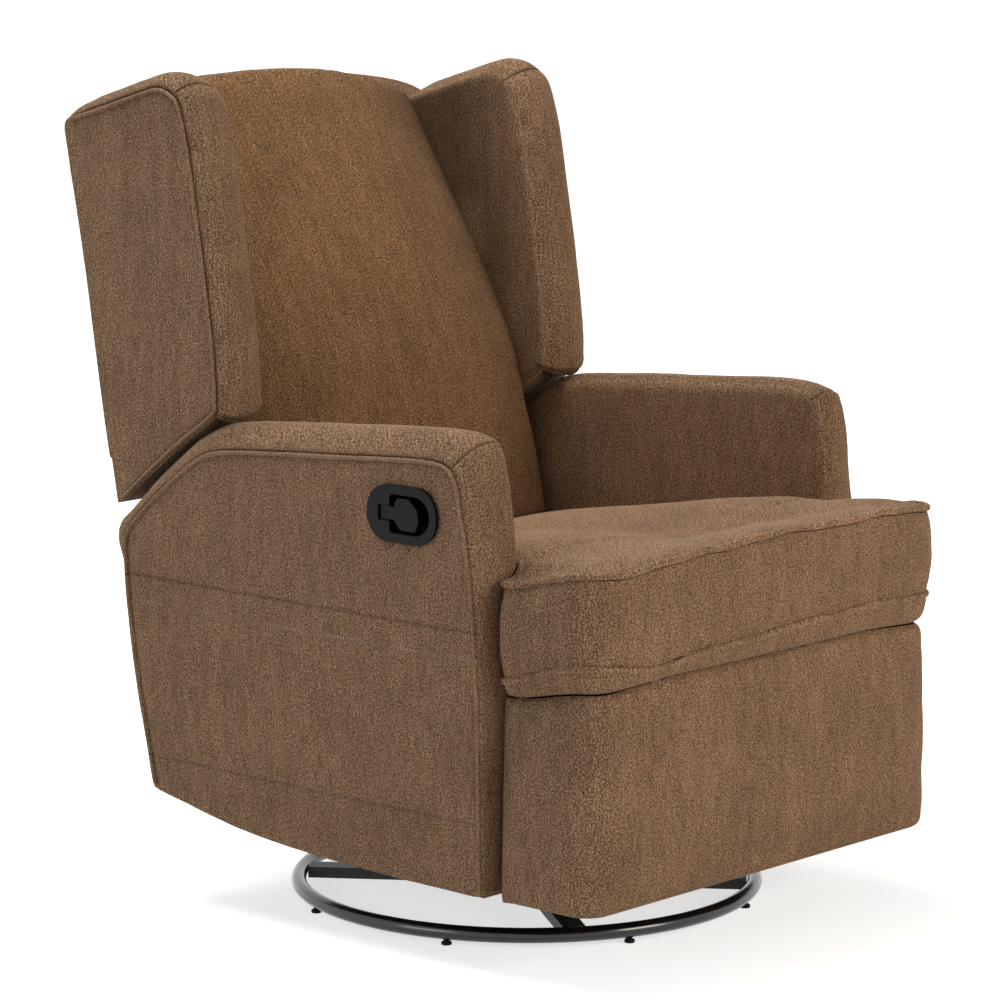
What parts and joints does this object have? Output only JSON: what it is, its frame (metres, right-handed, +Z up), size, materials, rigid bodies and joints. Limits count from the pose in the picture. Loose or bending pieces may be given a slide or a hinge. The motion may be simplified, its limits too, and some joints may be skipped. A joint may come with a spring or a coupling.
{
  "type": "swivel glider recliner",
  "caption": "Upholstered wing-back armchair that reclines, raises a boxed footrest, and swivels and glides on a ring base.",
  "frame": {"origin": "on the floor under the middle of the chair's overall box, upright and closed", "axes": "+Z up, -Y towards the front of the chair, +X towards the sitter's left"},
  "size_m": [0.783, 0.9806, 1.1026],
  "materials": {
    "upholstery": "woven brown chenille upholstery, matte",
    "black_steel": "gloss black powder coat",
    "zinc_steel": "zinc plated steel",
    "timber": "plain sawn timber and plywood",
    "black_plastic": "moulded satin black plastic",
    "nylon": "dark moulded nylon"
  },
  "bodies": {
    "base": {"base_ring": "black_steel", "base_spider": "black_steel", "floor_glide_1": "nylon", "floor_glide_2": "nylon", "floor_glide_3": "nylon", "floor_glide_4": "nylon", "floor_glide_5": "nylon", "floor_glide_6": "nylon", "floor_glide_7": "nylon", "floor_glide_8": "nylon", "swivel_race_lower": "zinc_steel", "swivel_ball_ring": "nylon", "swivel_bolt": "zinc_steel"},
    "swivel": {"swivel_race_upper": "zinc_steel", "stand_deck": "black_steel", "stand_plate_right": "black_steel", "stand_plate_left": "black_steel"},
    "rear_glide_links": {"glide_link_rear_right": "black_steel", "glide_link_rear_left": "black_steel"},
    "front_glide_links": {"glide_link_front_right": "black_steel", "glide_link_front_left": "black_steel"},
    "carriage": {"hanger_rail_right": "black_steel", "hanger_rail_left": "black_steel", "cross_tube_front": "black_steel", "cross_tube_rear": "black_steel", "base_rail_right": "black_steel", "base_rail_left": "black_steel", "arm_frame_right": "timber", "arm_frame_left": "timber", "arm_right": "upholstery", "arm_left": "upholstery", "handle_bezel": "black_plastic"},
    "lever": {"release_lever": "black_plastic"},
    "seat": {"seat_plate_right": "black_steel", "seat_plate_left": "black_steel", "seat_frame": "timber", "seat_spring_1": "zinc_steel", "seat_spring_2": "zinc_steel", "seat_spring_3": "zinc_steel", "seat_cushion": "upholstery"},
    "back": {"back_bracket_right": "black_steel", "back_bracket_left": "black_steel", "back_frame": "timber", "back_cushion": "upholstery", "wing_right": "upholstery", "wing_left": "upholstery", "back_cover": "upholstery"},
    "drive_links": {"drive_link_right": "zinc_steel", "drive_link_left": "zinc_steel", "torque_tube": "zinc_steel"},
    "support_links": {"support_link_right": "zinc_steel", "support_link_left": "zinc_steel"},
    "ottoman_links": {"ottoman_link_right": "zinc_steel", "ottoman_link_left": "zinc_steel"},
    "front_links": {"front_link_right": "zinc_steel", "front_link_left": "zinc_steel"},
    "footrest": {"footrest_bracket_right": "zinc_steel", "footrest_bracket_left": "zinc_steel", "footrest_board": "timber", "footrest_pad": "upholstery"}
  },
  "joints": [
    {"name": "swivel", "type": "hinge", "parent": "base", "child": "swivel", "pos_m": [0, -0.0493, 0.05], "axis": [0, 0, 1], "continuous": true},
    {"name": "glide", "type": "hinge", "parent": "swivel", "child": "rear_glide_links", "pos_m": [0, 0.0407, 0.196], "axis": [1, 0, 0], "range_deg": [-22, 22]},
    {"name": "glide_front_links", "type": "hinge", "parent": "swivel", "child": "front_glide_links", "pos_m": [0, -0.1393, 0.196], "axis": [1, 0, 0], "range_deg": [-22, 22]},
    {"name": "glide_carriage", "type": "hinge", "parent": "rear_glide_links", "child": "carriage", "pos_m": [0, 0.0407, 0.1], "axis": [1, 0, 0], "range_deg": [-22, 22]},
    {"name": "release_lever", "type": "hinge", "parent": "carriage", "child": "lever", "pos_m": [-0.3873, -0.1623, 0.573], "axis": [0, 0, -1], "range_deg": [0, 24], "stiffness_Nm_per_rad": 0.6},
    {"name": "seat_slide", "type": "slide", "parent": "carriage", "child": "seat", "axis": [0, -1, 0], "range_m": [0, 0.05]},
    {"name": "back_recline", "type": "hinge", "parent": "seat", "child": "back", "pos_m": [0, 0.1857, 0.335], "axis": [-1, 0, 0], "range_deg": [0, 30]},
    {"name": "footrest_drive", "type": "hinge", "parent": "seat", "child": "drive_links", "pos_m": [0, -0.2993, 0.35], "axis": [-1, 0, 0], "range_deg": [0, 90]},
    {"name": "footrest_support", "type": "hinge", "parent": "seat", "child": "support_links", "pos_m": [0, -0.2293, 0.335], "axis": [-1, 0, 0], "range_deg": [0, 90]},
    {"name": "footrest_ottoman_links", "type": "hinge", "parent": "drive_links", "child": "ottoman_links", "pos_m": [0, -0.1728, 0.1765], "axis": [-1, 0, 0], "range_deg": [-90, 0]},
    {"name": "footrest_front_links", "type": "hinge", "parent": "drive_links", "child": "front_links", "pos_m": [0, -0.16793, 0.12071], "axis": [-1, 0, 0], "range_deg": [-90, 0]},
    {"name": "footrest_box", "type": "hinge", "parent": "ottoman_links", "child": "footrest", "pos_m": [0, -0.3673, 0.345], "axis": [-1, 0, 0], "range_deg": [0, 90]}
  ],
  "couplings": [
    {"joint": "glide_front_links", "follows": "glide", "ratio": 1},
    {"joint": "glide_carriage", "follows": "glide", "ratio": -1},
    {"joint": "seat_slide", "follows": "back_recline", "m_per_rad": 0.095493},
    {"joint": "footrest_support", "follows": "footrest_drive", "ratio": 1},
    {"joint": "footrest_ottoman_links", "follows": "footrest_drive", "ratio": -1},
    {"joint": "footrest_front_links", "follows": "footrest_drive", "ratio": -1},
    {"joint": "footrest_box", "follows": "footrest_drive", "ratio": 1}
  ]
}
